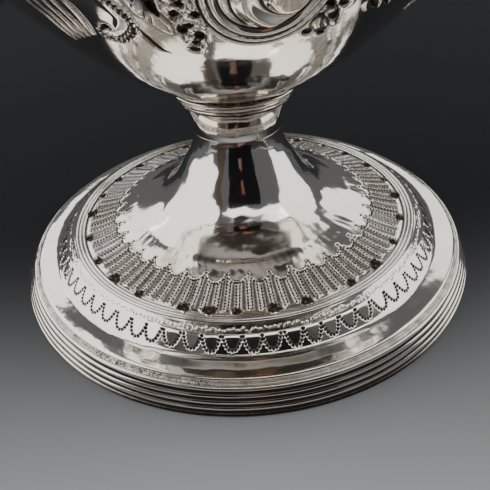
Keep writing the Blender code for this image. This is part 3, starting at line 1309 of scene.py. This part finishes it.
    def _front_left(self, sheet: Sheet, turn: float = 0.0) -> None:
        """Chase the sprays to the left of a cartouche.

        Args:
            sheet: The sheet to work.
            turn: Shift round the bowl in degrees.
        """
        def line(*points: tuple[float, float]) -> Array:
            """Shift a drawn line round."""
            return self._line(*points) + np.array([turn, 0.0])

        self._pounce(sheet, turn - 7.6, 1.150, wide=1.7, tall=4.4, count=150)
        sheet.flower(turn - 9.2, self._s(1.245), radius=2.2, petals=5, height=0.40, turn=20)
        self._pits(sheet, turn, self.LEFT_PITS, self.LEFT_PIT)
        trail = line((-17.8, 1.150), (-17.7, 1.120), (-17.1, 1.095), (-16.2, 1.072), (-14.4, 1.060))
        sheet.stroke(trail, width=0.32, depth=0.20)
        cut = line((-14.2, 1.240), (-13.4, 1.212), (-12.4, 1.178))
        sheet.stroke(cut, width=0.62, depth=0.40, taper=0.5)
        leaf = line((-13.8, 1.200), (-13.2, 1.160), (-11.4, 1.125))
        sheet.blade(leaf, half_width=0.95, height=0.26, dark=0.5)
        leaf = line((-16.4, 1.235), (-15.6, 1.200), (-14.8, 1.165))
        sheet.blade(leaf, half_width=0.85, height=0.26, dark=0.45)
        hook = line((-21.0, 1.262), (-19.8, 1.222), (-19.0, 1.196), (-18.4, 1.168), (-18.8, 1.140),
                    (-21.2, 1.116), (-24.4, 1.100), (-26.8, 1.108), (-27.0, 1.130), (-25.2, 1.148))
        sheet.beads(hook, pitch=0.72, tool=self.HOOK_BEAD)
        ridge = line((-22.4, 1.262), (-21.4, 1.222), (-20.6, 1.190), (-20.6, 1.165),
                     (-22.6, 1.140), (-24.6, 1.128))
        sheet.stroke(ridge, width=0.40, depth=-0.09, dark=0.0, burr=0.0)
        sheet.punch(turn - 25.0, self._s(1.144), self.HOOK_EYE)
        for k in range(self.FLUTES):
            side = -29.6 - 2.5 * k
            flute = line((side + 0.9, 1.300), (side + 0.4, 1.225), (side - 0.2, 1.165),
                         (side - 0.7, 1.112 - 0.008 * k))
            sheet.blade(flute, half_width=0.80, height=0.20, dark=0.42, blunt=1.0)

    def _front_right(self, sheet: Sheet, turn: float = 0.0) -> None:
        """Chase the sprays to the right of a cartouche.

        Args:
            sheet: The sheet to work.
            turn: Shift round the bowl in degrees.
        """
        def line(*points: tuple[float, float]) -> Array:
            """Shift a drawn line round."""
            return self._line(*points) + np.array([turn, 0.0])

        self._pits(sheet, turn, self.RIGHT_PITS, self.RIGHT_PIT)
        for leaf in (line((17.6, 1.140), (18.6, 1.115), (21.0, 1.090)),
                     line((19.4, 1.165), (20.4, 1.128), (22.8, 1.105))):
            sheet.blade(leaf, half_width=0.9, height=0.28, dark=0.6)
        sheet.flower(turn + 20.6, self._s(1.215), radius=1.9, petals=5, height=0.36, turn=10)
        for cut in (line((28.0, 1.180), (29.6, 1.152), (32.4, 1.128)),
                    line((31.2, 1.185), (33.0, 1.155), (35.0, 1.132))):
            sheet.stroke(cut, width=0.50, depth=0.30)
        cut = line((34.4, 1.190), (36.2, 1.165), (38.4, 1.150))
        sheet.stroke(cut, width=0.40, depth=0.24)

    def _upper(self, sheet: Sheet) -> None:
        """Chase the tall scrolls, leaves and flowers over the cartouches' feet.

        Args:
            sheet: The sheet to work.
        """
        for k in range(self.SPRAYS):
            turn = (k + 0.5) * 360.0 / self.SPRAYS - 180.0
            flip = 1 if k % 2 else -1
            outer = self._spiral(turn, 1.500, size=5.6, turns=1.6, start=90 * k)
            sheet.stroke(outer, width=0.85, depth=-0.34, dark=0.0, burr=0.0, taper=0.2)
            inner = self._spiral(turn, 1.500, size=4.8, turns=1.5, start=90 * k)
            sheet.stroke(inner, width=0.30, depth=0.20)
            for m in range(6):
                side = turn + flip * (3.4 + 2.3 * m)
                leaf = self._line((side, 1.385 + 0.03 * m), (side + flip * 2.2, 1.465 + 0.03 * m),
                                  (side + flip * 1.0, 1.560 + 0.035 * m))
                sheet.blade(leaf, half_width=1.35, height=0.36, veins=6)
            sheet.flower(turn - flip * 6.4, self._s(1.655), 3.6, 6, 0.42, 13 * k)
            sheet.flower(turn + flip * 9.5, self._s(1.325), 2.5, 5, 0.36, 31 * k)
            stem = self._line((turn - flip * 12, 1.320), (turn - flip * 9, 1.420),
                              (turn - flip * 3, 1.385), (turn + flip * 1, 1.320))
            sheet.stroke(stem, width=0.42, depth=-0.26, dark=0.0, burr=0.0)
            sheet.beads(stem + np.array([0.0, 0.95]), pitch=0.74, tool=self.STEM_BEAD)
            leaf = self._line((turn - flip * 13.5, 1.480), (turn - flip * 10.0, 1.560),
                              (turn - flip * 8.6, 1.700))
            sheet.blade(leaf, half_width=1.5, height=0.36, veins=7)
            self._pounce(sheet, turn - flip * 10.5, 1.385, wide=2.0, tall=1.6, count=60 + k)

    def chase(self, sheet: Sheet) -> Sheet:
        """Put every mark of the bowl on a sheet that follows its outline.

        Args:
            sheet: An untouched sheet.

        Returns:
            The same sheet, worked.
        """
        bearing, s, _ = sheet.grid()
        top = ease((s - self._s(1.060)) / 3.0)
        sheet.height += (0.001 + 0.018 * top) * waves(bearing, s, self.WAVES)
        for middle in self.CARTOUCHES:
            self._cartouche(sheet, middle)
        for turn in self.LEFT_TURNS:
            self._front_left(sheet, turn)
        for turn in self.RIGHT_TURNS:
            self._front_right(sheet, turn)
        self._upper(sheet)
        return sheet

    def _band(self, name: str, start: float, end: float, pitch: float, bearings: Array,
              capped: bool = False) -> None:
        """Build one band of the outer skin.

        Args:
            name: Name of the piece.
            start: Height where it starts, in foot radii.
            end: Height where it ends, in foot radii.
            pitch: Distance between rows in millimetres.
            bearings: Column bearings in radians.
            capped: Whether it closes on the axis.
        """
        first = self.sizes.eye if capped else self._s(start)
        last = self.outline.length if end == self.sizes.curve[-1][1] else self._s(end)
        piece = Turned(name, "bowl", Slot.BOWL, bearings)
        rows = rows_at((first, last, pitch))
        piece.face(self.outline, self.chase(piece.sheet(self.outline, rows)))
        hidden = rows_at((first, last, 1.2))
        piece.plain(self.outline, hidden, inset=self.sizes.wall / 2, backwards=True)
        piece.build(self.material, capped=capped)

    def build(self) -> None:
        """Build the skin in bands and the lining in one."""
        sizes = self.sizes
        bottom, top = sizes.curve[0][1], sizes.curve[-1][1]
        self._band("bowl_base", bottom, sizes.chased_from, 0.34, columns_at(360, 220), capped=True)
        self._band("bowl_chased_low", sizes.chased_from, sizes.chased_split, 0.150,
                   columns_at(700, 200))
        self._band("bowl_chased_high", sizes.chased_split, sizes.chased_to, 0.33,
                   columns_at(380, 460))
        self._band("bowl_upper", sizes.chased_to, top, 0.6, columns_at(240, 300))
        self._lining()

    def _lining(self) -> None:
        """Build the inside of the bowl, with the chasing showing faintly through."""
        piece = Turned("bowl_lining", "bowl", Slot.BOWL, columns_at(240, 320))
        rows = rows_at((self.sizes.eye, self.outline.length, 0.7))
        ghost = self.chase(piece.sheet(self.outline, rows))
        ghost.height = ghost.height * self.SHOW_THROUGH
        ghost.grime_and_shade = np.zeros_like(ghost.grime_and_shade)
        hidden = rows_at((self.sizes.eye, self.outline.length, 3.0))
        piece.plain(self.outline, hidden, inset=self.sizes.wall / 2)
        piece.face(self.outline, ghost, inset=self.sizes.wall, backwards=True)
        piece.build(self.material, capped=True)


class RimWire:
    """The reeded wire round the lip, and the seam under it."""

    REEDS = 3

    def __init__(self, wire: bpy.types.Material, seam: bpy.types.Material) -> None:
        """Keep the finishes."""
        self.wire, self.seam = wire, seam

    def build(self) -> None:
        """Build the wire inside its plain solid's box, and its seam."""
        low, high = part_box("rim_wire")
        outer, bottom, top = high.x / MM - 0.06, low.z / MM + 0.02, high.z / MM - 0.01
        t = np.linspace(0, math.pi, 13)[:-1]
        step = (top - bottom) / self.REEDS
        bulge = outer - 0.45 + 0.42 * np.sin(t) ** 0.7
        parts = [np.stack([bulge, bottom + k * step + step * (1 - np.cos(t)) / 2], -1)
                 for k in range(self.REEDS)]
        inner = outer - 1.35
        face = np.vstack([*parts, [(outer - 0.45, top)]])
        loop = np.vstack([[(inner, bottom)], face, [(inner, top)]])
        outline = Outline(loop)
        piece = Turned("rim_wire_reeds", "rim_wire", Slot.WIRE, columns_at(420, 300))
        start = outer - 0.45 - inner
        reeded = rows_at((0.0, start, 0.5), (start, outline.length - start, 0.11))
        rows = np.r_[reeded, outline.length]
        sheet = piece.sheet(outline, rows)
        point = outline.at(rows)[0]
        depth = np.clip((outer - 0.12 - point[:, :1]) / 0.3, 0, 1) * (point[:, :1] > inner + 0.6)
        sheet.grime_and_shade += 0.8 * depth ** 2
        piece.face(outline, sheet).build(self.wire)
        self._seam()

    def _seam(self) -> None:
        """Build the fine seam of solder in its plain solid's place."""
        low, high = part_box("rim_solder")
        middle = np.array([high.x / MM - 0.22, (low.z + high.z) / 2 / MM])
        outline, rows = cord_outline(middle, half_width=0.20, half_height=0.20, count=12)
        piece = Turned("rim_solder_seam", "rim_solder", Slot.SOLDER, columns_at(300, 200))
        sheet = piece.sheet(outline, rows)
        bearing, s, _ = sheet.grid()
        sheet.height += 0.02 * np.sin(53 * bearing + 3 * s)
        sheet.grime_and_shade += 0.5
        piece.face(outline, sheet).build(self.seam)


# ------------------------------------------------------------------ the room

@dataclass(frozen=True)
class Panel:
    """A soft light: where it stands, its two sides in metres, and its power in watts."""

    name: str
    place: tuple[float, float, float]
    size: tuple[float, float]
    power: float


class Paint(Enum):
    """The cards' paints: colour and roughness."""

    DARK = ((0.010, 0.011, 0.016), 0.8)
    DUSK = ((0.040, 0.036, 0.034), 0.8)
    SKIN = ((0.42, 0.19, 0.12), 0.7)
    PALE = ((0.30, 0.30, 0.32), 0.7)
    BROWN = ((0.16, 0.125, 0.10), 0.8)
    SLATE = ((0.10, 0.108, 0.128), 0.8)


@dataclass(frozen=True)
class Card:
    """A card that only the silver sees, level or upright, by its least and greatest corners."""

    name: str
    low: tuple[float, float, float]
    high: tuple[float, float, float]
    paint: Paint


class Studio:
    """Floor, soft lights, cards, world and camera."""

    FLOOR_REACH = 3.0
    FLOOR_FAR, FLOOR_NEAR = (0.024, 0.025, 0.029, 1), (0.90, 0.92, 0.94, 1)
    WORLD, WORLD_STRENGTH = (0.93, 0.95, 1.0, 1), 0.120
    PANELS = (
        Panel("window_left", (-0.80, 0.02, 0.52), (1.20, 1.05), 6.2),
        Panel("window_right", (0.85, 0.10, 0.48), (0.80, 0.95), 3.4),
        Panel("back_left", (-0.50, 0.95, 0.66), (0.80, 0.42), 1.6),
        Panel("back_right", (0.52, 0.95, 0.62), (0.75, 0.46), 1.5),
        Panel("ceiling_front", (0.16, -0.42, 0.75), (1.10, 0.24), 1.5),
    )
    CARDS = (
        Card("card_behind_camera", (-0.13, -0.26, -0.10), (0.17, -0.26, 0.30), Paint.DARK),
        Card("card_warm_low", (-0.005, -0.24, 0.065), (0.017, -0.24, 0.165), Paint.SKIN),
        Card("card_pale", (-0.026, -0.24, 0.065), (-0.006, -0.24, 0.135), Paint.PALE),
        Card("card_left_front", (-0.25, -0.20, 0.01), (-0.15, -0.20, 0.27), Paint.BROWN),
        Card("card_low", (-0.50, -0.75, 0.0008), (0.50, -0.064, 0.0008), Paint.DUSK),
        Card("card_low_warm", (0.004, -0.30, 0.0016), (0.030, -0.10, 0.0016), Paint.SKIN),
        Card("card_low_brown", (-0.11, -0.30, 0.0016), (-0.045, -0.10, 0.0016), Paint.BROWN),
        Card("card_left", (-1.00, -0.05, 0.0012), (-0.13, 0.80, 0.0012), Paint.SLATE),
        Card("card_right", (0.13, -0.05, 0.0012), (1.00, 0.80, 0.0012), Paint.SLATE),
        Card("flag_dark", (-0.20, 0.36, 0.66), (0.20, 0.58, 0.66), Paint.DARK),
        Card("flag_warm", (0.03, 0.36, 0.65), (0.07, 0.58, 0.65), Paint.SKIN),
    )
    DISTANCE, FALL = 2.446, math.radians(36.3)
    PAN, TILT, ROLL = math.radians(0.1), math.radians(-1.05), math.radians(-4.1)
    LENS, SENSOR, CLIP = 37.07, 36.0, (0.001, 20)

    def _paint(self, name: str, colour: tuple[float, float, float],
               rough: float) -> bpy.types.Material:
        """Make a plain matt material with a faint mottle.

        Args:
            name: Name of the material.
            colour: Its colour.
            rough: Its roughness.

        Returns:
            The material.
        """
        made, shader, root, place = blank_material(name)
        mottle = root.node("ShaderNodeTexNoise", Vector=place, Scale=3.0, Detail=2.0)
        tint = mottle.mix((*colour, 1), (*[c * 1.06 for c in colour], 1))
        made.node_tree.links.new(tint.socket, shader.inputs["Base Color"])
        shader.inputs["Roughness"].default_value = rough
        shader.inputs["Specular IOR Level"].default_value = 0.1
        return made

    def _floor_material(self) -> bpy.types.Material:
        """Make the floor's paint: pale in front, graduated to dark behind.

        Returns:
            The material.
        """
        made = self._paint("graduated_floor", (0.5, 0.5, 0.5), 0.9)
        shader = made.node_tree.nodes["Principled BSDF"]
        root = Tone(made.node_tree, shader.outputs[0])
        place = root.node("ShaderNodeTexCoord", output="Object")
        depth = root.node("ShaderNodeSeparateXYZ", output=1, Vector=place)
        pale = (1.0 - depth.span(-0.090, 0.022)) ** 2.0
        tint = pale.mix(self.FLOOR_FAR, self.FLOOR_NEAR)
        made.node_tree.links.new(tint.socket, shader.inputs["Base Color"])
        return made

    def _plane(self, name: str, low: tuple[float, float, float], high: tuple[float, float, float],
               material: bpy.types.Material) -> bpy.types.Object:
        """Put up a flat stage piece, level if its corners are at one height, or else upright.

        Args:
            name: Name of the piece.
            low: Its least corner in metres.
            high: Its greatest corner in metres.
            material: Its paint.

        Returns:
            The object, staged.
        """
        (left, near, bottom), (right, far, top) = low, high
        corners = [(left, near, bottom), (right, near, bottom), (right, far, top), (left, far, top)]
        mesh = bpy.data.meshes.new(name)
        mesh.from_pydata(corners, [], [(0, 1, 2, 3)])
        mesh.materials.append(material)
        plane = bpy.data.objects.new(name, mesh)
        bpy.context.scene.collection.objects.link(plane)
        return plane

    def build(self) -> None:
        """Build the room and the camera."""
        reach = self.FLOOR_REACH
        self._plane("floor", (-reach, -reach, 0), (reach, reach, 0), self._floor_material())
        paints = {paint: self._paint(f"{paint.name.lower()}_card", *paint.value) for paint in Paint}
        for card in self.CARDS:
            plane = self._plane(card.name, card.low, card.high, paints[card.paint])
            plane.visible_camera = plane.visible_shadow = False
        for panel in self.PANELS:
            self._light(panel)
        self._world()
        self._camera()

    def _light(self, panel: Panel) -> None:
        """Hang one soft light, turned to the object.

        Args:
            panel: The light.
        """
        data = bpy.data.lights.new(panel.name, "AREA")
        data.shape = "RECTANGLE"
        data.size, data.size_y = panel.size
        data.energy = panel.power
        lamp = bpy.data.objects.new(panel.name, data)
        lamp.location = panel.place
        aim = Vector((0, 0, 0.03)) - Vector(panel.place)
        lamp.rotation_euler = aim.to_track_quat("-Z", "Y").to_euler()
        bpy.context.scene.collection.objects.link(lamp)

    def _world(self) -> None:
        """Light the room with an even grey."""
        world = bpy.data.worlds.new("room")
        world.use_nodes = True
        back = world.node_tree.nodes["Background"]
        back.inputs["Color"].default_value = self.WORLD
        back.inputs["Strength"].default_value = self.WORLD_STRENGTH
        bpy.context.scene.world = world

    def _camera(self) -> None:
        """Stand the camera in front, looking down, with a slight roll."""
        foot = FOOT_RADIUS * MM
        away, above = math.cos(self.FALL), math.sin(self.FALL)
        place = Vector((0, -self.DISTANCE * away, self.DISTANCE * above))
        forward = -place.normalized()
        right = Vector((1, 0, 0))
        up = right.cross(forward)
        pan = Quaternion(up, self.PAN)
        forward, right = pan @ forward, pan @ right
        tilt = Quaternion(right, self.TILT)
        forward, up = tilt @ forward, tilt @ up
        across = right * math.cos(self.ROLL) + up * math.sin(self.ROLL)
        upward = up * math.cos(self.ROLL) - right * math.sin(self.ROLL)
        turn = Matrix((across, upward, -forward)).transposed()
        data = bpy.data.cameras.new("camera")
        data.lens, data.sensor_width = self.LENS, self.SENSOR
        data.clip_start, data.clip_end = self.CLIP
        camera = bpy.data.objects.new("camera", data)
        camera.matrix_world = Matrix.Translation(place * foot) @ turn.to_4x4()
        bpy.context.scene.collection.objects.link(camera)
        bpy.context.scene.camera = camera


def main() -> None:
    """Build the silver piece by piece, then the room."""
    logging.basicConfig(level=logging.INFO, format="%(name)s: %(message)s")
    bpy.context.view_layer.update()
    silver, wire, seam = STERLING.material(), WIRE.material(), SEAM.material()
    Foot(FootSizes(), silver).build()
    FootWire(WireSizes(), wire, seam).build()
    Collar(silver, wire, seam).build()
    Bowl(BowlSizes(), silver).build()
    RimWire(wire, seam).build()
    Studio().build()


if __name__ == "__main__":
    main()
